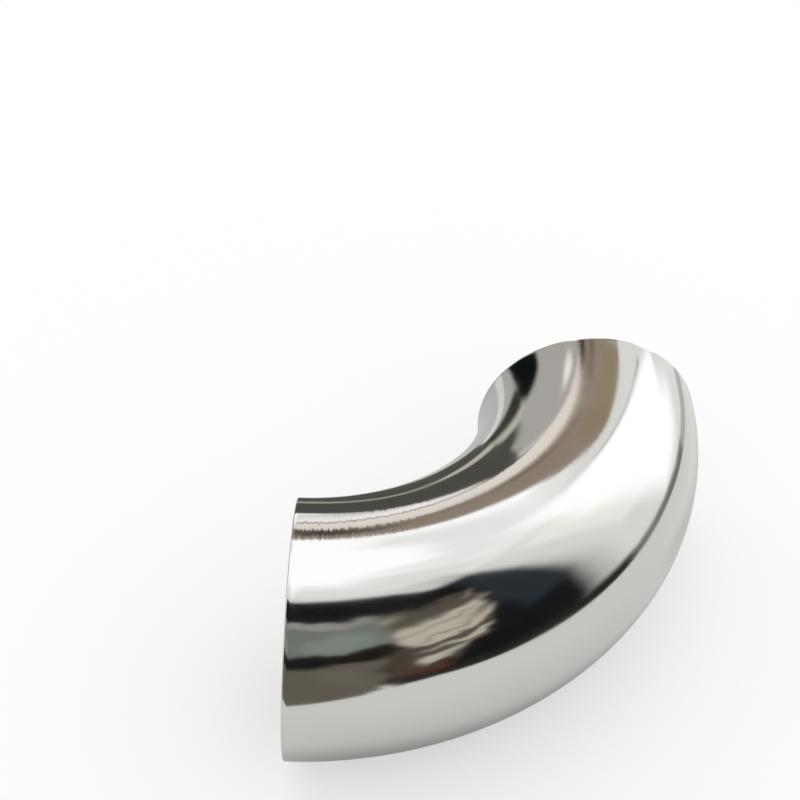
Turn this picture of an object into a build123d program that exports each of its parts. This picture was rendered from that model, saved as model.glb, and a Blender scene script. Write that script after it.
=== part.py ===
from build123d import *
import os
from math import atan2, cos, degrees, radians, sin

# Butt weld elbow: a quarter turn of thin stainless steel tube, formed in one piece and cut
# square at both ends, so that each end is welded edge to edge to a tube of the same size.
#
# Frame, in millimetres. The origin is the centre of weld end A, whose face looks along -X.
# The centre line leaves it along +X, turns towards +Y about an upright bend axis, and stops
# at weld end B, whose face looks along +Y. The elbow lies on its side, as it comes to rest.

# Driving dimensions
tube_diameter = 38.1       # outside diameter of the tube, and of both weld ends
wall = 1.5                 # wall thickness at the weld ends
bend_radius = 48.5         # from the bend axis to the tube's centre line
bend_angle = 90.0          # turn from weld end A to weld end B, in degrees
forming_shift = 0.12       # forming thins the back and thickens the throat by this, at mid bend
outer_edge_bevel = 0.2     # deburring bevels the outer rim of each weld end
inner_edge_bevel = 0.15    # and the rim of the bore

# The outside is part of a ring, a torus about the bend axis.
outer_radius = tube_diameter / 2
half_turn = radians(bend_angle / 2)
bend_centre = Vector(0, bend_radius, 0)
bend_axis = Axis(bend_centre, (0, 0, 1))
mid_bend = Vector(sin(half_turn), -cos(half_turn), 0)

# The bore runs along an arc of its own, a little tighter than the outside's. It passes through
# the centre of both weld ends, which stay even rings, and bulges by the forming shift between.
bore_radius = outer_radius - wall
half_chord = bend_radius * sin(half_turn)
bore_rise = bend_radius * (1 - cos(half_turn)) + forming_shift
bore_bend_radius = (half_chord**2 + bore_rise**2) / (2 * bore_rise)
bore_centre = bend_centre + mid_bend * (bend_radius + forming_shift - bore_bend_radius)
bore_axis = Axis(bore_centre, (0, 0, 1))

# The cutting arc overshoots each weld end by the wall, so that no skin is left on a face.
bore_half_turn = degrees(atan2(half_chord, bore_bend_radius - bore_rise))
overshoot = degrees(wall / bore_bend_radius)
bore_start = bend_angle / 2 - 90 - bore_half_turn - overshoot
bore_turn = 2 * (bore_half_turn + overshoot)

with BuildLine() as bore_arc:
    CenterArc(bore_centre, bore_bend_radius, bore_start, bore_turn)
bore_mouth = Plane(origin=bore_arc.line @ 0, z_dir=bore_arc.line % 0)

with BuildPart() as elbow:
    # Tube body, from end A round to end B
    with BuildSketch(Plane.YZ):
        Circle(outer_radius)
    revolve(axis=bend_axis, revolution_arc=bend_angle)

    # Bore, open at both weld ends
    with BuildSketch(bore_mouth):
        Circle(bore_radius)
    revolve(axis=bore_axis, revolution_arc=bore_turn, mode=Mode.SUBTRACT)

    # Edges of the two square-cut weld ends
    weld_ends = elbow.faces().filter_by(GeomType.PLANE)
    outer_rims = [edge for face in weld_ends for edge in face.outer_wire().edges()]
    bore_rims = [edge for face in weld_ends for wire in face.inner_wires() for edge in wire.edges()]
    chamfer(outer_rims, length=outer_edge_bevel)
    chamfer(bore_rims, length=inner_edge_bevel)

elbow.part.label = "elbow"

os.makedirs("parts", exist_ok=True)
export_step(elbow.part, "parts/elbow.step")
print(f"elbow: {elbow.part.volume:.1f} cubic mm of steel, box {elbow.part.bounding_box()}")
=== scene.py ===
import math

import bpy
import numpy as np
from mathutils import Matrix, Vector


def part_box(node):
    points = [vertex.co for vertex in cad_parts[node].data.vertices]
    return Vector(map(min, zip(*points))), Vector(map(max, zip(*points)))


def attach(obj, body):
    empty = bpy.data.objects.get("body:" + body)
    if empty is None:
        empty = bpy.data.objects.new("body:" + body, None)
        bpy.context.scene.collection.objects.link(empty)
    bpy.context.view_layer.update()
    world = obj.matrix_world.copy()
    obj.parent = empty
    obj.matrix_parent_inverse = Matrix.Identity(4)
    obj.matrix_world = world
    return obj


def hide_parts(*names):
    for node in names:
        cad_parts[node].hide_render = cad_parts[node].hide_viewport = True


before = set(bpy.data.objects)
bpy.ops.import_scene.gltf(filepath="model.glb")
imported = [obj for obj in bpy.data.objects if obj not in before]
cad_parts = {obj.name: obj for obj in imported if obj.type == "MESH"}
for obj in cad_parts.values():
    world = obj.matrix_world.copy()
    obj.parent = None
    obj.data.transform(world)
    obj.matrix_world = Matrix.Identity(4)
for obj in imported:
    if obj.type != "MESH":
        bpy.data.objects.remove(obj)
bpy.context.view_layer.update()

# %% [markdown]
# # A mirror-polished butt weld elbow
#
# The object is one quarter turn of thin stainless steel tube. It has no moving part and no
# second piece, so all the work goes into two things: a surface smooth enough to carry long
# mirror reflections, and a studio for it to reflect. A polished metal has almost no look of
# its own. What the eye reads as "polished steel" is the room, bent by the shape.
#
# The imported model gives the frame. The origin is the centre of weld end A, which faces -X.
# The tube runs towards +X, turns about an upright axis and ends at weld end B, facing +Y.
# It lies on its side, so the floor is one tube radius below the origin.

low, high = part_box("elbow")
MM = 0.001
TUBE_RADIUS = 19.05 * MM
BEND_RADIUS = 48.5 * MM
WALL = 1.5 * MM
BORE_RADIUS = TUBE_RADIUS - WALL
FLOOR = low[2]
print("CAD box in mm", [[round(v / MM, 2) for v in corner] for corner in (low, high)])
print("tube radius off the frame by", round((high[2] - low[2]) / 2 / MM - TUBE_RADIUS / MM, 3), "mm")

# %% [markdown]
# ## Helpers for colours, nodes and materials
#
# Colours are written as people write them, in sRGB hex, and turned to the linear light that
# Blender works in. Every node of every material is added by one small function, which takes
# the node's settings and what is plugged into its inputs. Two more start a material: one for
# metals, which keep Blender's own shader, and one for the studio's things, which start bare.

# %% Helpers for colours, nodes and materials


def linear(hex_colour):
    """An sRGB hex colour as linear red, green and blue, by the sRGB curve."""
    coded = np.array([int(hex_colour[k:k + 2], 16) for k in (1, 3, 5)]) / 255
    curve = np.where(coded <= 0.04045, coded / 12.92, ((coded + 0.055) / 1.055) ** 2.4)
    return tuple(float(c) for c in curve)


def add(tree, kind, settings=None, **links):
    """Add one node. Settings are its properties; links are its inputs, each an output or a value.

    An input is given by its name, with _ for a space, or as i0, i1, ... by its place.
    """
    node = tree.nodes.new(kind)
    for name, value in (settings or {}).items():
        setattr(node, name, value)
    for name, value in links.items():
        key = int(name[1:]) if name[0] == "i" and name[1:].isdigit() else name.replace("_", " ")
        if isinstance(value, bpy.types.NodeSocket):
            tree.links.new(value, node.inputs[key])
        else:
            node.inputs[key].default_value = value
    return node


def metal(name):
    """A new metal: its material, its node tree and the shader that everything is plugged into."""
    finish = bpy.data.materials.new(name)
    finish.use_nodes = True
    shader = finish.node_tree.nodes["Principled BSDF"]
    shader.inputs["Metallic"].default_value = 1.0
    return finish, finish.node_tree, shader


def bare(name):
    """A new material with no nodes in it yet, and its node tree."""
    finish = bpy.data.materials.new(name)
    finish.use_nodes = True
    finish.node_tree.nodes.clear()
    return finish, finish.node_tree


print("mid grey #808080 is", [round(c, 3) for c in linear("#808080")], "in linear light")

# %% [markdown]
# ## The shell as one closed surface
#
# A bent tube could be swept along a curve, but then its cut ends, its rims and its bore would
# be separate jobs. Here one profile is walked in a loop: along the outside from end A to end
# B, over the rounded rim, across the cut face, down the bevel, back along the bore, and over
# the same rim at end A. Each station of that walk is a ring of points around the tube. So the
# whole elbow is a grid with two parameters, the station and the angle around the tube, and it
# closes on itself both ways, with no seam and no cap.
#
# Forming leaves marks too slight to measure and plain to see in a mirror: long, shallow waves
# of a few hundredths of a millimetre. They only ever go inwards, so the shell stays in its box.

# %% One ring of points
AROUND = 240
around = np.linspace(0, 2 * np.pi, AROUND, endpoint=False)[None, :]


def bend_point(turn, radius, setback=0.0, shift=0.0):
    """Points on rings of the bend.

    A ring stands at `turn` radians about the bend axis and has the given radius. In its own
    plane a point is radius * (cos around, sin around), the first pointing away from the bend
    axis and the second up. `shift` moves the ring away from the bend axis, and `setback` moves
    it back along the tube, square to its plane.
    """
    reach = BEND_RADIUS + shift + radius * np.cos(around)
    x = reach * np.sin(turn) - setback * np.cos(turn)
    y = BEND_RADIUS - reach * np.cos(turn) - setback * np.sin(turn)
    z = radius * np.sin(around) + 0 * reach
    return np.stack([x, y, z], axis=-1)


middle_ring = bend_point(np.pi / 4, TUBE_RADIUS)[0]
print("the ring half way round the bend has its middle at", np.round(middle_ring.mean(axis=0) / MM, 1), "mm")

# %% Marks of forming
WAVE_DEPTH = 0.02 * MM
WAVES_ALONG = 5.3
WAVES_AROUND = 3
SWAY = 0.8
DRIFT = 2.2
ALONG_PHASE = 1.1
AROUND_PHASE = 0.4
ALONG_SHARE = 0.6
FORMING_SHIFT = 0.12 * MM


def forming_waves(turn):
    """Depth of the waves left by forming: a slow sine along the tube plus one around it.

    The sine along the tube sways round it, and the sine around the tube drifts along it, so no
    two stretches are alike. Each is lifted to lie between 0 and 1.
    """
    along_wave = 0.5 + 0.5 * np.sin(WAVES_ALONG * turn + ALONG_PHASE + SWAY * np.sin(2 * around))
    around_wave = 0.5 + 0.5 * np.sin(WAVES_AROUND * around + DRIFT * turn + AROUND_PHASE)
    return WAVE_DEPTH * (ALONG_SHARE * along_wave + (1 - ALONG_SHARE) * around_wave)


def forming_shift(turn):
    """How far the bore's ring stands off the bend's middle line: most half way round the bend."""
    return FORMING_SHIFT * np.sin(2 * turn) ** 2


print("waves up to", WAVE_DEPTH / MM, "mm deep; the bore stands off by", FORMING_SHIFT / MM, "mm at mid bend")

# %% Rings along the walls and over the rims
ALONG = 200
ALONG_BORE = 90
RIM_ROUND = 0.2 * MM
ROUND_RINGS = 8
ROUND_START = 0.12
FACE_RINGS = 6
BORE_BEVEL = 0.15 * MM
BORE_MARGIN = 3 * BORE_BEVEL


def wall_rings(count, margin, radius_of, shift_of=lambda turn: 0 * turn):
    """Rings along the outside or the bore, starting and ending `margin` short of the cut ends.

    A ring that stops short by a length turns less on the outside of the bend than on the
    inside: its turn is the arcsine of the margin over the distance from the bend axis.
    """
    share = np.linspace(0, 1, count)[:, None]
    first = np.arcsin(margin / (BEND_RADIUS + TUBE_RADIUS * np.cos(around)))
    turn = first + share * (np.pi / 2 - 2 * first)
    return bend_point(turn, radius_of(turn), shift=shift_of(turn))


def rim_rings(turn, facing):
    """Rings over one cut end, outside first: a quarter round, the flat face and the bevel.

    `facing` is +1 where the tube's run leaves through this end and -1 where it enters. The
    quarter round starts a little past the outside's last ring.
    """
    corner = np.linspace(ROUND_START, 1, ROUND_RINGS) * np.pi / 2
    round_radius = TUBE_RADIUS - RIM_ROUND + RIM_ROUND * np.cos(corner)
    round_setback = RIM_ROUND * (1 - np.sin(corner))
    flat_radius = np.linspace(TUBE_RADIUS - RIM_ROUND, BORE_RADIUS + BORE_BEVEL, FACE_RINGS + 1)[1:]
    radius = np.concatenate([round_radius, flat_radius, [BORE_RADIUS]])
    setback = np.concatenate([round_setback, 0 * flat_radius, [BORE_BEVEL]])
    return bend_point(turn, radius[:, None], setback=facing * setback[:, None])


outside = wall_rings(ALONG, RIM_ROUND, lambda turn: TUBE_RADIUS - forming_waves(turn))
bore = wall_rings(ALONG_BORE, BORE_MARGIN, lambda turn: BORE_RADIUS, forming_shift)[::-1]
rim_b = rim_rings(np.pi / 2, 1)
rim_a = rim_rings(0.0, -1)[::-1]
rings = np.concatenate([outside, rim_b, bore, rim_a])
print("rings", len(rings), "of", AROUND, "points")

# %% [markdown]
# ## From rings to a mesh
#
# Each face joins a point to its neighbour on the next ring and to the same two one step round
# the tube. np.roll gives all the neighbours at once, and because it wraps, the last ring joins
# the first. The volume is a good test of such a mesh: added up from all the faces as thin
# wedges from the origin, it comes out positive only if the faces point outwards, and it should
# be near the volume of the real wall, the ring's area times the length of the bend.

# %% Mesh of the elbow


def closed_grid(name, rings):
    """A mesh from rings of points, closed along the rings and around them, and its volume."""
    stations, points = rings.shape[:2]
    here = np.arange(stations * points).reshape(stations, points)
    next_ring = np.roll(here, -1, axis=0)
    faces = np.stack([here, next_ring, np.roll(next_ring, -1, axis=1), np.roll(here, -1, axis=1)], axis=-1)
    mesh = bpy.data.meshes.new(name)
    mesh.vertices.add(stations * points)
    mesh.vertices.foreach_set("co", rings.astype(np.float32).ravel())
    mesh.loops.add(faces.size)
    mesh.loops.foreach_set("vertex_index", faces.astype(np.int32).ravel())
    mesh.polygons.add(stations * points)
    mesh.polygons.foreach_set("loop_start", np.arange(0, faces.size, 4, dtype=np.int32))
    mesh.polygons.foreach_set("use_smooth", np.ones(stations * points, dtype=bool))
    mesh.update(calc_edges=True)
    mesh.validate()
    corner = rings.reshape(-1, 3)[faces.reshape(-1, 4)]
    wedge = np.cross(corner[:, 1], corner[:, 2]) + np.cross(corner[:, 2], corner[:, 3])
    return mesh, float(np.einsum("ij,ij->", corner[:, 0], wedge) / 6)


mesh, volume = closed_grid("polished_elbow", rings)
ring_area = np.pi * (TUBE_RADIUS**2 - BORE_RADIUS**2)
print("faces", len(mesh.polygons), "volume", round(volume / MM**3), "cubic mm, from the ring's area",
      round(ring_area * BEND_RADIUS * np.pi / 2 / MM**3))
elbow = bpy.data.objects.new("polished_elbow", mesh)
bpy.context.collection.objects.link(elbow)
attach(elbow, "root")
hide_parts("elbow")

# %% [markdown]
# ## Coordinates that follow the tube
#
# Marks left by polishing run round the tube, and marks left by drawing run along it. Both are
# simple stripes if the bend is first undone. From a point of the object, the bend axis gives
# two things: the angle, which times the bend radius is the distance along the tube, and the
# distance from the axis, which less the bend radius is the offset across it. With the height,
# these are the coordinates of the straight tube that the elbow was made from. They are worked
# out in nodes from Object coordinates, so they have no seam anywhere.

# %% Unbent coordinates, in millimetres


def unbent(tree):
    """Distance along the tube, offset away from the bend axis and height, all in millimetres.

    Along is R * atan2(x, R - y), and the offset is the length of (x, R - y) less R. The three
    come joined first, and then each by itself.
    """
    point = add(tree, "ShaderNodeTexCoord").outputs["Object"]
    scaled = add(tree, "ShaderNodeVectorMath", {"operation": "SCALE"}, i0=point, Scale=1 / MM).outputs[0]
    part = add(tree, "ShaderNodeSeparateXYZ", Vector=scaled).outputs
    back = add(tree, "ShaderNodeMath", {"operation": "SUBTRACT"}, i0=BEND_RADIUS / MM, i1=part["Y"])
    back = back.outputs[0]
    angle = add(tree, "ShaderNodeMath", {"operation": "ARCTAN2"}, i0=part["X"], i1=back).outputs[0]
    along = add(tree, "ShaderNodeMath", {"operation": "MULTIPLY"}, i0=angle, i1=BEND_RADIUS / MM).outputs[0]
    arm = add(tree, "ShaderNodeCombineXYZ", X=part["X"], Y=back).outputs[0]
    reach = add(tree, "ShaderNodeVectorMath", {"operation": "LENGTH"}, i0=arm).outputs["Value"]
    offset = add(tree, "ShaderNodeMath", {"operation": "SUBTRACT"}, i0=reach, i1=BEND_RADIUS / MM).outputs[0]
    joined = add(tree, "ShaderNodeCombineXYZ", X=along, Y=offset, Z=part["Z"]).outputs[0]
    return joined, along, offset, part["Z"]


def tube_run(tree):
    """The direction in which the tube runs at a point: the arm (x, R - y) turned a quarter turn."""
    point = add(tree, "ShaderNodeTexCoord").outputs["Object"]
    part = add(tree, "ShaderNodeSeparateXYZ", Vector=point).outputs
    back = add(tree, "ShaderNodeMath", {"operation": "SUBTRACT"}, i0=BEND_RADIUS, i1=part["Y"]).outputs[0]
    turned = add(tree, "ShaderNodeCombineXYZ", X=back, Y=part["X"]).outputs[0]
    return add(tree, "ShaderNodeVectorMath", {"operation": "NORMALIZE"}, i0=turned).outputs[0]


print("the bend's middle line is", round(BEND_RADIUS / MM * np.pi / 2, 1), "mm long")

# %% Noise, steps and products


def stretched(tree, place, sizes, **settings):
    """Noise whose grain has the given size in millimetres along each of the three directions."""
    fitted = add(tree, "ShaderNodeVectorMath", {"operation": "DIVIDE"}, i0=place, i1=sizes).outputs[0]
    return add(tree, "ShaderNodeTexNoise", Vector=fitted, Scale=1.0, **settings).outputs[0]


def between(tree, value, start, end, low_result=0.0, high_result=1.0):
    """A smooth step: low_result below start, high_result above end."""
    step = {"interpolation_type": "SMOOTHSTEP"}
    return add(tree, "ShaderNodeMapRange", step, Value=value, From_Min=start, From_Max=end,
               To_Min=low_result, To_Max=high_result).outputs[0]


def times(tree, *values):
    """The product of several values."""
    product = values[0]
    for value in values[1:]:
        product = add(tree, "ShaderNodeMath", {"operation": "MULTIPLY"}, i0=product, i1=value).outputs[0]
    return product


def strip(tree, value, start, full, fading, end):
    """A soft-edged strip: 0 up to start, 1 from full to fading, and 0 again from end on."""
    return times(tree, between(tree, value, start, full), between(tree, value, fading, end, 1.0, 0.0))


print("helpers for patterns:", stretched.__name__, between.__name__, times.__name__, strip.__name__)

# %% [markdown]
# ## Mirror polish on the outside
#
# The metal is stainless steel grade 304. It reflects about 58 % of light, slightly more red
# than blue, which is why it looks a touch warm beside chrome. The outside is buffed with a
# rotating mop until it is a mirror, so its roughness is low, but never nought and never even:
# slow patches of haze are left where the mop passed less often. The mop also leaves hairlines
# round the tube, about a third of a millimetre apart and far less than a micrometre deep. Real
# ones are finer still; these are drawn as coarse as a close view needs to show them.

# %% Mirror-polished stainless steel
STEEL_DARK = "#C5C5C2"
STEEL_LIGHT = "#CBCBC8"
HAZE_MM = (14, 9, 9)
CLEAR_ROUGHNESS = 0.07
HAZY_ROUGHNESS = 0.12
HAIRLINE_MM = 0.35
HAIRLINE_DEPTH = 0.0006 * MM
polished, tree, shader = metal("mirror_polished_stainless_steel")
place, along, offset, height = unbent(tree)

haze = stretched(tree, place, HAZE_MM, Detail=3.0)
colour = add(tree, "ShaderNodeMix", {"data_type": "RGBA"}, Factor=haze, i6=(*linear(STEEL_DARK), 1),
             i7=(*linear(STEEL_LIGHT), 1)).outputs[2]
tree.links.new(colour, shader.inputs["Base Color"])
roughness = between(tree, haze, 0.35, 0.75, CLEAR_ROUGHNESS, HAZY_ROUGHNESS)
tree.links.new(roughness, shader.inputs["Roughness"])
hairlines = stretched(tree, place, (HAIRLINE_MM, 7, 7), Detail=2.0)
fine = add(tree, "ShaderNodeBump", Strength=1.0, Distance=HAIRLINE_DEPTH, Height=hairlines).outputs[0]
reflectance = sum(linear(STEEL_DARK) + linear(STEEL_LIGHT)) / 6
print("hairlines every", HAIRLINE_MM, "mm; the steel reflects", round(reflectance, 3))

# %% [markdown]
# ## Deeper hairlines on the crest
#
# On the inner crest, where the mop can hardly reach, the lines are deeper, and they break the
# edges of the long reflections into fine teeth. A bump can't do this well, since its slope runs
# along the tube. Here each hairline tips the mirror a little up or down instead: a part of the
# direction round the tube, the cross product of the normal and the tube's run, is added to the
# normal, and a fine noise says how much. All the places are in unbent millimetres.

# %% Hairlines that tip the mirror
CREST_HAIR_MM = 0.28
CREST_HAIR_LENGTH_MM = 2.2
HAIR_TIP = 0.075
MILD_HAIRS = 0.42
OUTER_HAIRS = 0.4

# The crest, from about 5 mm inside the middle line to about as far as the line itself. Its
# hairlines are deepest near end A and milder from 24 mm along.
on_crest = times(tree, between(tree, height, 13.0, 16.0), strip(tree, offset, -6.2, -4.2, -0.8, 1.2))
near_end = between(tree, along, 12.0, 24.0, 1.0, MILD_HAIRS)

# One more patch lies on the outer side of the crest, half way and more round the bend.
outer_patch = times(tree, between(tree, height, 15.0, 17.0), strip(tree, offset, 0.0, 1.5, 3.2, 4.6),
                    strip(tree, along, 42.0, 47.0, 54.0, 60.0))

hairs = stretched(tree, place, (CREST_HAIR_MM, CREST_HAIR_LENGTH_MM, CREST_HAIR_LENGTH_MM), Detail=2.0)
centred = add(tree, "ShaderNodeMath", {"operation": "SUBTRACT"}, i0=hairs, i1=0.5).outputs[0]
covered = add(tree, "ShaderNodeMath", {"operation": "MAXIMUM"}, i0=times(tree, on_crest, near_end),
              i1=times(tree, outer_patch, OUTER_HAIRS)).outputs[0]
tip = times(tree, centred, covered, HAIR_TIP)
run = tube_run(tree)
round_tube = add(tree, "ShaderNodeVectorMath", {"operation": "CROSS_PRODUCT"}, i0=fine, i1=run).outputs[0]
tipping = add(tree, "ShaderNodeVectorMath", {"operation": "SCALE"}, i0=round_tube, Scale=tip).outputs[0]
tipped = add(tree, "ShaderNodeVectorMath", {"operation": "ADD"}, i0=fine, i1=tipping).outputs[0]
tipped = add(tree, "ShaderNodeVectorMath", {"operation": "NORMALIZE"}, i0=tipped).outputs[0]
tree.links.new(tipped, shader.inputs["Normal"])
print("a crest hairline tips the mirror by up to", round(math.degrees(HAIR_TIP / 2), 1), "degrees")

# %% [markdown]
# ## Faced ends and plain bore
#
# The two ends are cut square and faced on a lathe, ready for welding, so they carry fine
# rings about the tube's middle and a brighter, slightly broken shine. The bore is left as the
# tube was drawn and bent: duller, greyer, with faint lines along the tube and slow stains.

# %% Lathe-faced stainless steel
TOOL_MARK_MM = 0.12
TOOL_MARK_DEPTH = 0.002 * MM
faced, tree, shader = metal("lathe_faced_stainless_steel")
shader.inputs["Base Color"].default_value = (*linear("#CFCDC9"), 1)
offset, height = unbent(tree)[2:]
across = add(tree, "ShaderNodeCombineXYZ", X=offset, Y=height).outputs[0]
from_middle = add(tree, "ShaderNodeVectorMath", {"operation": "LENGTH"}, i0=across).outputs["Value"]
ring_place = add(tree, "ShaderNodeCombineXYZ", X=from_middle).outputs[0]
tool_rings = stretched(tree, ring_place, (TOOL_MARK_MM, 1, 1), Detail=1.0)
tool_bump = add(tree, "ShaderNodeBump", Strength=1.0, Distance=TOOL_MARK_DEPTH, Height=tool_rings).outputs[0]
tree.links.new(tool_bump, shader.inputs["Normal"])
tree.links.new(between(tree, tool_rings, 0.3, 0.7, 0.2, 0.32), shader.inputs["Roughness"])
print("about", round(WALL / MM / TOOL_MARK_MM), "tool marks across the cut face")

# %% Drawn stainless steel in the bore
STAIN_MM = (9, 6, 6)
DRAW_LINE_MM = (25, 0.5, 0.5)
DRAW_LINE_DEPTH = 0.002 * MM
drawn, tree, shader = metal("drawn_stainless_steel_bore")
place = unbent(tree)[0]
stain = stretched(tree, place, STAIN_MM, Detail=4.0)
colour = add(tree, "ShaderNodeMix", {"data_type": "RGBA"}, Factor=stain, i6=(*linear("#A09D97"), 1),
             i7=(*linear("#BBB9B4"), 1)).outputs[2]
tree.links.new(colour, shader.inputs["Base Color"])
tree.links.new(between(tree, stain, 0.3, 0.7, 0.28, 0.42), shader.inputs["Roughness"])
draw_lines = stretched(tree, place, DRAW_LINE_MM, Detail=2.0)
draw_bump = add(tree, "ShaderNodeBump", Strength=1.0, Distance=DRAW_LINE_DEPTH, Height=draw_lines).outputs[0]
tree.links.new(draw_bump, shader.inputs["Normal"])
print("draw lines", DRAW_LINE_MM[1], "mm wide in the bore")

# %% Which finish each ring of faces takes
# Faces with number k lie between ring k and the next one. The rims' quarter rounds are polished
# with the outside, and the flat ends and the bevels inside them are faced.
ring_finish = np.zeros(len(rings), dtype=np.int32)
face_b = ALONG + ROUND_RINGS - 1
bore_start = ALONG + len(rim_b) - 1
bore_end = ALONG + len(rim_b) + ALONG_BORE
ring_finish[face_b:bore_start] = 1
ring_finish[bore_start:bore_end] = 2
ring_finish[bore_end:bore_end + len(rim_a) - ROUND_RINGS] = 1
for finish in (polished, faced, drawn):
    mesh.materials.append(finish)
mesh.polygons.foreach_set("material_index", np.repeat(ring_finish, AROUND))
print("rings of faces polished, faced and drawn:", np.bincount(ring_finish).tolist())

# %% [markdown]
# ## Floor and reflected sheet
#
# The floor is what the camera sees: white, with the soft shadow of the tube. It is a matt
# white mixed with a glow for the camera alone, which makes the shadow lighter and leaves the
# light on the object as it is. A metal mirror also shows where the white sheet under it ends,
# as a dark edge running round its side, so a sheet with an edge is laid there for the
# reflections alone. The sheet's colour is painted darker close to the tube, as painted shadow
# of the tube, and darker again beside end B, as painted shade.

# %% Stage pieces


def stage_plane(name, corners, material):
    """A flat piece of the stage from its corners, in millimetres."""
    plane = bpy.data.meshes.new(name)
    corners = [tuple(MM * c for c in corner) for corner in corners]
    plane.from_pydata(corners, [], [tuple(range(len(corners)))])
    plane.materials.append(material)
    piece = bpy.data.objects.new(name, plane)
    bpy.context.collection.objects.link(piece)
    return piece


def only_reflected(piece):
    """Let a stage piece be seen in the metal and nowhere else, and let it throw no shadow."""
    piece.visible_camera = False
    piece.visible_diffuse = False
    piece.visible_shadow = False
    piece.visible_transmission = False


floor_mm = FLOOR / MM
print("the floor is", round(-floor_mm, 2), "mm below the origin")

# %% White floor
FLOOR_REACH_MM = 3000
SHADOW_SHARE = 0.55
white_floor, tree = bare("white_studio_floor")
matt = add(tree, "ShaderNodeBsdfDiffuse", Color=(*linear("#FFFFFF"), 1)).outputs[0]
glow = add(tree, "ShaderNodeEmission", Color=(1, 1, 1, 1), Strength=1.0).outputs[0]
by_camera = add(tree, "ShaderNodeLightPath").outputs["Is Camera Ray"]
share = add(tree, "ShaderNodeMath", {"operation": "MULTIPLY"}, i0=by_camera, i1=1 - SHADOW_SHARE).outputs[0]
seen = add(tree, "ShaderNodeMixShader", i0=share, i1=matt, i2=glow)
add(tree, "ShaderNodeOutputMaterial", Surface=seen.outputs[0])
square = np.array([(-1, -1), (1, -1), (1, 1), (-1, 1)]) * FLOOR_REACH_MM
floor = stage_plane("studio_floor", [(x, y, floor_mm) for x, y in square], white_floor)
floor.visible_glossy = False
print("the floor keeps", SHADOW_SHARE, "of the shadow's depth")

# %% Reflected sheet with an edge
PAPER = "#F9FAF8"
# Painted shade on the paper's colour: from SHADED near the tube up to LIT, and FAR_SIDE beside end B.
SHADE_NEAR, SHADE_FAR = 62 * MM, 77 * MM
SHADED, LIT = 0.70, 1.02
FAR_SIDE = 0.76
SHEET_LIFT_MM = 0.05
paper, tree = bare("white_paper")
place = add(tree, "ShaderNodeTexCoord").outputs["Object"]
part = add(tree, "ShaderNodeSeparateXYZ", Vector=place).outputs

# Painted shadow of the tube: the paper is darker by the distance from the foot of the bend axis.
from_axis = add(tree, "ShaderNodeVectorMath", {"operation": "DISTANCE"}, i0=place,
                i1=(0, BEND_RADIUS, FLOOR)).outputs["Value"]
near = between(tree, from_axis, SHADE_NEAR, SHADE_FAR, SHADED, LIT)

# Painted shade: darker again beside end B, where less light comes in, but not under the bend nor far out.
beside = between(tree, part["Y"], 18 * MM, 42 * MM, 1.0, FAR_SIDE)
far_out = between(tree, part["X"], 78 * MM, 105 * MM)
under_bend = between(tree, part["X"], 52 * MM, 68 * MM, 1.0, 0.0)
open_floor = add(tree, "ShaderNodeMath", {"operation": "MAXIMUM"}, i0=far_out, i1=under_bend).outputs[0]
beside = add(tree, "ShaderNodeMix", Factor=open_floor, i2=beside, i3=1.0).outputs[0]
# Both painted shades, multiplied, scale the paper's colour.
bright = times(tree, near, beside)
tone = add(tree, "ShaderNodeVectorMath", {"operation": "SCALE"}, i0=linear(PAPER), Scale=bright).outputs[0]
matt = add(tree, "ShaderNodeBsdfDiffuse", Color=tone)
add(tree, "ShaderNodeOutputMaterial", Surface=matt.outputs[0])
sheet_edge = [(-300, 283), (6, -103), (136, -267), (211, -306), (285, -170), (292, 20), (265, 85), (200, 113),
              (140, 122), (60, 118)]
sheet = stage_plane("paper_sheet", [(x, y, floor_mm + SHEET_LIFT_MM) for x, y in sheet_edge], paper)
only_reflected(sheet)
print("corners of the sheet", len(sheet_edge))

# %% [markdown]
# ## The room in the metal
#
# The world is the room that the steel reflects, drawn in directions: an azimuth, 0 straight
# ahead of the camera and 90 to its right, and an elevation above the horizon. Each panel is a
# flat shape in those two angles with a soft edge. Slow noise moves the angles a little, so no
# edge is ruled. A tone is written as the metal shows it, so the room itself is brighter by one
# over the metal's reflectance.

# %% Angles of a direction
world = bpy.data.worlds.new("studio")
bpy.context.scene.world = world
world.use_nodes = True
tree = world.node_tree
tree.nodes.clear()
WRAP_FROM = math.radians(-90)
WRAP_TO = math.radians(270)
direction = add(tree, "ShaderNodeTexCoord").outputs["Generated"]
part = add(tree, "ShaderNodeSeparateXYZ", Vector=direction).outputs
elevation = add(tree, "ShaderNodeMath", {"operation": "ARCSINE"}, i0=part["Z"]).outputs[0]
azimuth = add(tree, "ShaderNodeMath", {"operation": "ARCTAN2"}, i0=part["X"], i1=part["Y"]).outputs[0]
wrapped = add(tree, "ShaderNodeMath", {"operation": "WRAP"}, i0=azimuth, i1=WRAP_TO, i2=WRAP_FROM).outputs[0]
level = add(tree, "ShaderNodeCombineXYZ", X=wrapped, Y=elevation, Z=1.0).outputs[0]


def wavered(size, reach):
    """The angles, moved about by noise: patches `size` degrees wide, moved up to about `reach`.

    Noise seldom strays from its middle by more than a quarter, hence four times the reach.
    """
    fit = 1 / math.radians(size)
    fitted = add(tree, "ShaderNodeVectorMath", {"operation": "SCALE"}, i0=level, Scale=fit).outputs[0]
    noise = add(tree, "ShaderNodeTexNoise", Vector=fitted, Scale=1.0, Detail=1.0).outputs["Color"]
    half = (0.5, 0.5, 0.5)
    far = (math.radians(4 * reach), math.radians(4 * reach), 0)
    centred = add(tree, "ShaderNodeVectorMath", {"operation": "SUBTRACT"}, i0=noise, i1=half).outputs[0]
    moved = add(tree, "ShaderNodeVectorMath", {"operation": "MULTIPLY"}, i0=centred, i1=far).outputs[0]
    return add(tree, "ShaderNodeVectorMath", {"operation": "ADD"}, i0=level, i1=moved).outputs[0]


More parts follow.
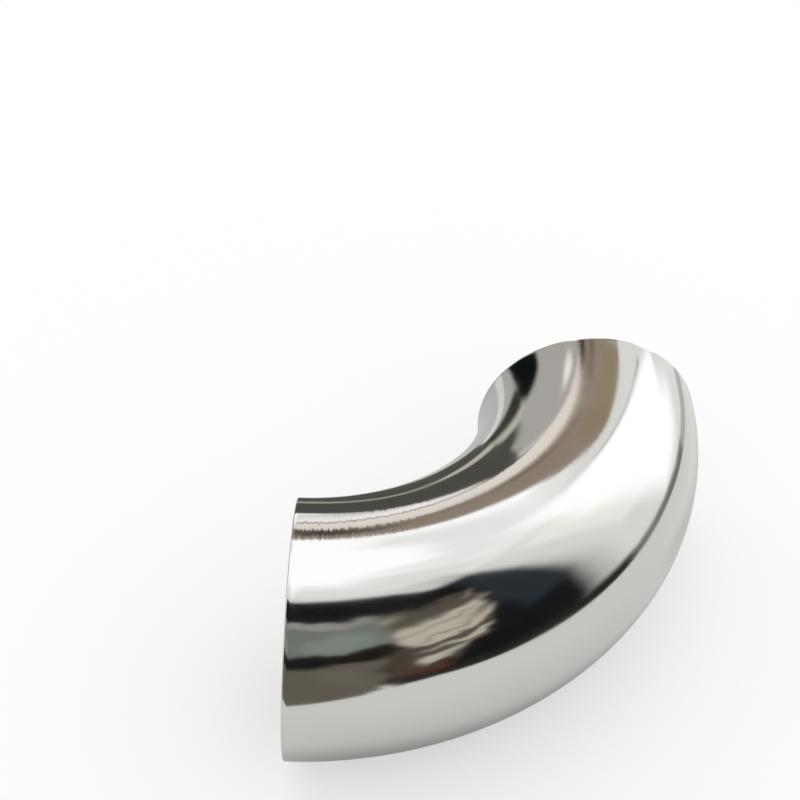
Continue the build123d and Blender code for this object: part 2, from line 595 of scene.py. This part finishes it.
# Steady angles are for walls and edges, and loose ones for what leans on the board.
steady = wavered(10, 0.4)
loose = wavered(7, 2.2)
print("azimuths run from", math.degrees(WRAP_FROM), "to", math.degrees(WRAP_TO), "degrees")

# %% One panel
MIRROR = linear("#C8C8C6")


def shown(tone):
    """The light that a direction needs for the metal to show this tone there."""
    return (*(light / mirrored for light, mirrored in zip(linear(tone), MIRROR)), 1)


def panel(room, angles, tone, blur, corners):
    """Lay one panel over the room so far: a convex shape with a soft edge.

    For each side, the dot product of (azimuth, elevation, 1) with the side's line is the
    distance inside it. The least of these distances is the distance inside the shape, and a
    smooth step over it, `blur` degrees wide, is the panel's cover.
    """
    corners = np.radians(np.array(corners, dtype=float))
    middle = corners.mean(axis=0)
    inside = None
    for start, end in zip(corners, np.roll(corners, -1, axis=0)):
        normal = np.array([start[1] - end[1], end[0] - start[0]])
        normal *= np.sign(normal @ (middle - start)) / np.linalg.norm(normal)
        line = (normal[0], normal[1], -normal @ start)
        side = add(tree, "ShaderNodeVectorMath", {"operation": "DOT_PRODUCT"}, i0=angles, i1=line)
        side = side.outputs["Value"]
        inside = side if inside is None else add(
            tree, "ShaderNodeMath", {"operation": "MINIMUM"}, i0=inside, i1=side).outputs[0]
    half = math.radians(blur) / 2
    cover = between(tree, inside, -half, half)
    light = shown(tone) if isinstance(tone, str) else tone
    return add(tree, "ShaderNodeMix", {"data_type": "RGBA"}, Factor=cover, i6=room, i7=light).outputs[2]


print("a white that the metal shows as #FFFFFF has strength", round(shown("#FFFFFF")[1], 2))

# %% [markdown]
# ## What stands in the room
#
# A row below gives a tone, the width of the soft edge in degrees, and the corners as azimuth
# and elevation in degrees. Later rows lie over earlier ones.
#
# The ceiling and walls are nearly white, with a bright window to the right of the camera. A big
# dark board stands behind it and to the right, and paler things lean on it. One of them has a
# pattern of its own, slanting streaks of noise.

# %% Slanting streaks
STREAK_SLOPE = 0.35
STREAK_PITCH = math.radians(6.5)
STREAK_SLICE = 3.0
STREAK_DARK = "#4F493F"
STREAK_PALE = "#B3AC9E"
across_streaks = (STREAK_SLOPE / STREAK_PITCH, 1 / STREAK_PITCH, 0)
sloped = add(tree, "ShaderNodeVectorMath", {"operation": "DOT_PRODUCT"}, i0=loose, i1=across_streaks)
sloped = sloped.outputs["Value"]
streak_place = add(tree, "ShaderNodeCombineXYZ", X=wrapped, Y=sloped, Z=STREAK_SLICE).outputs[0]
streak_noise = add(tree, "ShaderNodeTexNoise", Vector=streak_place, Scale=1.0, Detail=1.0).outputs[0]
streaks = add(tree, "ShaderNodeMix", {"data_type": "RGBA"}, Factor=between(tree, streak_noise, 0.42, 0.56),
              i6=shown(STREAK_DARK), i7=shown(STREAK_PALE)).outputs[2]
print("streaks about", round(math.degrees(STREAK_PITCH), 1), "degrees wide")

# %% Ceiling, walls and window
ceiling_and_walls = [
    ("#E7E9E6", 14, [(50, 80), (192, 84), (192, 58), (50, 58)]),
    ("#D9DBD7", 10, [(80, 82), (192, 84), (192, 64), (80, 62)]),
    ("#C6C8C4", 6, [(98, 61), (125, 62), (192, 68), (192, 74.5), (112, 71.5), (97, 67)]),
    ("#E2E3E1", 7, [(2, 44), (40, 44), (60, 58), (95, 62), (95, 70), (40, 70), (4, 60)]),
    ("#E2E3E0", 7, [(20, 44), (24, 52), (60, 61), (99, 66), (104, 40)]),
    ("#D2D3CF", 4, [(24, -30), (24, 45), (38, 50), (99, 64), (106, -5), (80, -30)]),
    ("#E6E5E0", 8, [(70, 16), (84, 20), (86, 56), (70, 58)]),
    ("#FFFFFF", 12, [(46, 2), (54, 1), (64, -3), (70, -2), (74, 14), (75, 44), (64, 57), (52, 60),
                     (46, 54)]),
    ("#FFFFFF", 3, [(38.4, 12), (38.2, 22), (38.8, 33), (40, 40), (41.5, 45), (43.5, 48.5), (47, 51), (60, 46),
                    (60, 14), (50, 12)]),
    ("#ABAAA6", 14, [(97, 66), (95, 20), (91, -2), (112, -2), (112, 66)]),
    ("#BDBDB9", 8, [(188, -95), (275, -95), (275, 56), (188, 60)]),
    ("#BDBDB9", 8, [(-95, -95), (-50, -95), (-50, 52), (-95, 56)]),
    ("#F6F5F2", 6, [(222, 10), (252, 10), (252, 50), (222, 50)]),
]
print("panels of ceiling, walls and window", len(ceiling_and_walls))

# %% Dark board and what leans on it
dark_board = [
    ("#2E3236", 9, [(99.8, 62), (100.6, 46), (101.4, 30), (100.6, 16), (99.4, 1), (125, 0), (125, 58)]),
    ("#141517", 4, [(105, 62.5), (106, -4), (192, -4), (192, 66), (122, 64)]),
    ("#141517", 2.5, [(116, 61), (134, 69.5), (148, 72), (170, 72.5), (192, 71), (192, 55), (116, 55)]),
    ("#282D33", 8, [(102, 60), (114, 61), (122, 42), (118, 22), (105, 24)]),
]
leaning_things = [
    (streaks, 4, [(120, 54), (124, 38), (131, 22), (137, 13), (143, 8), (150, 8), (155, 24), (156, 45),
                  (154, 54)]),
    ("#453C34", 4, [(151, 24), (156, 30), (160, 20), (157, -5), (151, -5)]),
    ("#4B3329", 3, [(143, 7), (154, 7), (155, -5), (146, -5)]),
    ("#6C706A", 2, [(154, 54.5), (192, 54), (192, 24), (176, 27), (155, 31)]),
    ("#78827A", 5, [(160, 43), (170, 43), (178, 38), (178, 29), (162, 29)]),
    ("#8B8A84", 3, [(154, 54.5), (192, 54), (192, 48), (168, 48), (156, 51)]),
    ("#1C1814", 3, [(154, 30.5), (162, 30), (170, 27), (192, 17), (192, 13), (172, 19), (160, 21.5),
                    (154, 21)]),
    ("#5C574D", 3, [(159, 20), (172, 18), (192, 12), (192, -20), (168, -20), (160, -6)]),
    ("#625D53", 5, [(164, 15), (175, 13), (175, 1), (164, -1)]),
]
print("panels of the board and on it", len(dark_board) + len(leaning_things))

# %% [markdown]
# The far side of the room, ahead of the camera and to its left, is mirrored along the inside
# of the bend: a tan shelf with a pale edge, dark and grey things under it, and a thin grey
# line down the wall beside the window. Below the horizon lies the floor past the sheet's edge,
# grey on the window's side and nearly black under the board. The mirror shows it as the dark
# line along the tube's side.

# %% Far side and floor
far_side = [
    ("#A2A09A", 5, [(-75, 46), (-75, -95), (-4, -95), (-4, 38), (-20, 44)]),
    ("#CBCFCC", 14, [(-90, -16), (12, -16), (12, -95), (-90, -95)]),
    ("#9DA29E", 6, [(-90, -4), (-8, -6), (-8, -17), (-30, -15), (-90, -12)]),
    ("#32332A", 4, [(-26, 0), (-19, 1), (-13, -5), (-8, -10), (-8, -18), (-13, -14.5), (-22, -8),
                    (-27, -4)]),
    ("#0C110E", 4, [(-42, -3.5), (-42, 12), (-34, 20.5), (-29, 17.5), (-23.5, 11), (-21, 5), (-22, 0),
                    (-30, -3)]),
    ("#47463C", 2.5, [(-14.5, 6), (-4.5, 20.5), (-4, 14), (-8, 1), (-13, 3)]),
    ("#B0ADA2", 2, [(-20, 4), (-17, 4.5), (-12, 1), (-8, -3), (-8, -7.5), (-12, -4)]),
    ("#EAE3DC", 2.5, [(-15.5, 31), (-13.5, 29), (-11, 29.4), (-10, 32.5), (-11.5, 34.5), (-14.5, 34)]),
    ("#F2EEE9", 2.5, [(-5, 26.5), (-6, 28.5), (-8, 33), (-9, 39), (12, 39), (12, 10), (-3, 10), (-3.6, 20)]),
    ("#DAD1C8", 3, [(-5, 28), (-7, 34), (-6, 37.5), (6, 37.5), (6, 28)]),
    ("#4A433F", 1.4, [(-4.4, 25.2), (-2.2, 25.4), (-2.2, 27.4), (-4.4, 27.2)]),
    ("#877A6D", 2, [(-8, 36.8), (0.6, 35.2), (27.3, 37), (31.5, 41.5), (31, 44.5), (24, 48.3), (-8, 48.3)]),
    ("#86796A", 2, [(4, 38), (24, 31), (26, 34), (28.5, 40.5), (6, 41)]),
    ("#877961", 3, [(12, 36), (24, 33), (28, 40), (29, 43), (15, 42)]),
    ("#CFCAC2", 1.5, [(6, 36.4), (11, 36.2), (17, 34.8), (23, 32.2), (26, 29), (20, 24), (4, 30)]),
    ("#3A322D", 2.5, [(-4.8, 36), (-2, 36.4), (0.4, 40), (0, 42), (-1.4, 43.4), (-4.8, 43.8)]),
    ("#5A5247", 1.3, [(0.8, 35.6), (3, 36.4), (5.5, 37.8), (8, 38.2), (8, 39.2), (4.5, 38.8), (1, 37.4)]),
    ("#7A7F7B", 0.5, [(35.9, 23), (36.8, 23), (38.4, 34.5), (37.6, 34.5)]),
    ("#7A7F7B", 0.5, [(37.6, 34), (38.4, 34), (40.2, 45), (39.4, 45)]),
]
below_horizon = [
    ("#A5A39E", 2, [(38, -12), (51, -7.5), (62, -4.5), (62, -40), (38, -40)]),
    ("#6E6B66", 4, [(57, -6.5), (67, -3.5), (80, -2), (92, -1.2), (92, -40), (57, -40)]),
    ("#231F1C", 6, [(89, -1), (100, 1.5), (108, 2), (158, 0.5), (158, -60), (88, -60)]),
]
print("panels of the far side and the floor", len(far_side) + len(below_horizon))

# %% All the panels over a white room
room = add(tree, "ShaderNodeRGB").outputs[0]
room.default_value = shown("#FEFEFE")
for angles, panels in ((steady, ceiling_and_walls + dark_board), (loose, leaning_things),
                       (steady, far_side + below_horizon)):
    for tone, blur, corners in panels:
        room = panel(room, angles, tone, blur, corners)
print("nodes in the world", len(tree.nodes))

# %% [markdown]
# The camera and matt things see none of this room. To them the world is plain white light of
# strength 1, at which a matt colour renders as it is written. The room is smooth and broad, so
# the world is sampled like any mirrored thing, without a map of its bright places.

# %% World output
light_path = add(tree, "ShaderNodeLightPath").outputs
plain_seen = add(tree, "ShaderNodeMath", {"operation": "MAXIMUM"}, i0=light_path["Is Camera Ray"],
                 i1=light_path["Is Diffuse Ray"]).outputs[0]
reflected = add(tree, "ShaderNodeBackground", Color=room, Strength=1.0).outputs[0]
plain = add(tree, "ShaderNodeBackground", Color=(1, 1, 1, 1), Strength=1.0).outputs[0]
seen = add(tree, "ShaderNodeMixShader", i0=plain_seen, i1=reflected, i2=plain)
add(tree, "ShaderNodeOutputWorld", Surface=seen.outputs[0])
world.cycles.sampling_method = "NONE"
print("world", world.name, "is plain white to the camera and to matt things")

# %% [markdown]
# ## Flags of painted reflection across the inside of the bend
#
# A flag is what photographers call a dark card stood close to something shiny, to draw dark
# lines in it. One stands upright across the inside of the bend, with a paler strip along it.
# It is close, so its reflection narrows along the throat, as no far panel's would. The strips
# stand a little in front of it. The cards glow with set tones, though they are no lamp, and
# only the metal sees them. They are painted reflection of a second elbow that lay beside this
# one, and the dark card is also painted shadow, that elbow's shadow on the paper.

# %% Flags
# A row gives a name, a tone as the metal shows it, the card's y and its outline as x and z, in mm.
# Every card here is painted reflection; the dark card is also painted shadow.
FLAGS = [
    ("painted_reflection_fringe", "#A6A9A3", 60.0,
     [(8, floor_mm), (13, floor_mm), (16, -14.5), (20, -9), (22.8, -5), (22.6, 0), (20, -4.5), (16, -9),
      (12, -15)]),
    ("painted_reflection_flag", "#474640", 60.0,
     [(-6, floor_mm), (8, floor_mm), (12, -15), (16, -9), (20, -4.5), (22.1, -1.5), (22.1, 10), (22.6, 15),
      (23.8, 20), (25.6, 28), (27.6, 33), (29.5, 38), (29.5, 41.2), (25, 40.2), (20, 38.5), (14, 36),
      (10, 34.3), (6, 32), (0, 29.3), (-6, 29)]),
    ("painted_reflection_strip", "#8E8C80", 59.8,
     [(-6, 1), (0, 1.5), (4, 5.5), (8, 9.5), (12, 11.5), (16, 11), (20, 10), (22.1, 10), (22.6, 15.5),
      (20, 16), (16, 15), (12, 14.8), (8, 13), (4, 9.5), (0, 7), (-6, 6)]),
    ("painted_reflection_strip_end", "#ABA99D", 59.7, [(15, 13), (18, 11), (22.1, 10.8), (22.4, 14.8), (19, 15)]),
]


def card(name, tone, depth, outline):
    """A flat card in an upright plane across the bend, of a tone as the metal shows it."""
    finish, tree = bare(name + "_card")
    # The card glows, though it is no lamp, and only the metal sees it: painted reflection.
    glow = add(tree, "ShaderNodeEmission", Color=shown(tone), Strength=1.0)
    add(tree, "ShaderNodeOutputMaterial", Surface=glow.outputs[0])
    only_reflected(stage_plane(name, [(x, depth, z) for x, z in outline], finish))


for name, tone, depth, outline in FLAGS:
    card(name, tone, depth, outline)
print("flags", len(FLAGS))

# %% [markdown]
# ## Camera
#
# The camera stands in front of the bend and above it, looking down at about 41 degrees and
# rolled by a few degrees. Its place was found by matching the tube's outline, and it is given
# as an eye, a target that it looks at, and the roll. The lens has no shift.

# %% Camera
EYE = np.array([9.61, -113.35, 143.00]) * MM
TARGET = np.array([15.49, 52.14, 0.0]) * MM
ROLL_DEGREES = 3.95
LENS_MM = 54.668
SENSOR_MM = 36.0
NEAREST = 0.001


def looking(eye, target, roll):
    """World matrix of a camera: its third axis points back from the target to the eye.

    Right is ahead x up, made level first, then turned towards up by the roll.
    """
    ahead = (target - eye) / np.linalg.norm(target - eye)
    level = np.cross(ahead, [0, 0, 1])
    level /= np.linalg.norm(level)
    upright = np.cross(level, ahead)
    right = math.cos(roll) * level + math.sin(roll) * upright
    matrix = np.eye(4)
    matrix[:3, 0] = right
    matrix[:3, 1] = np.cross(right, ahead)
    matrix[:3, 2] = -ahead
    matrix[:3, 3] = eye
    return Matrix(matrix.tolist())


camera_data = bpy.data.cameras.new("camera")
camera_data.sensor_width = SENSOR_MM
camera_data.lens = LENS_MM
camera_data.clip_start = NEAREST
camera = bpy.data.objects.new("camera", camera_data)
camera.matrix_world = looking(EYE, TARGET, math.radians(ROLL_DEGREES))
bpy.context.collection.objects.link(camera)
bpy.context.scene.camera = camera
bpy.context.scene.view_settings.view_transform = "Standard"
down = math.degrees(math.asin((EYE - TARGET)[2] / np.linalg.norm(EYE - TARGET)))
print("camera at", [round(v / MM, 1) for v in EYE], "mm, looking down by", round(down, 1), "degrees")
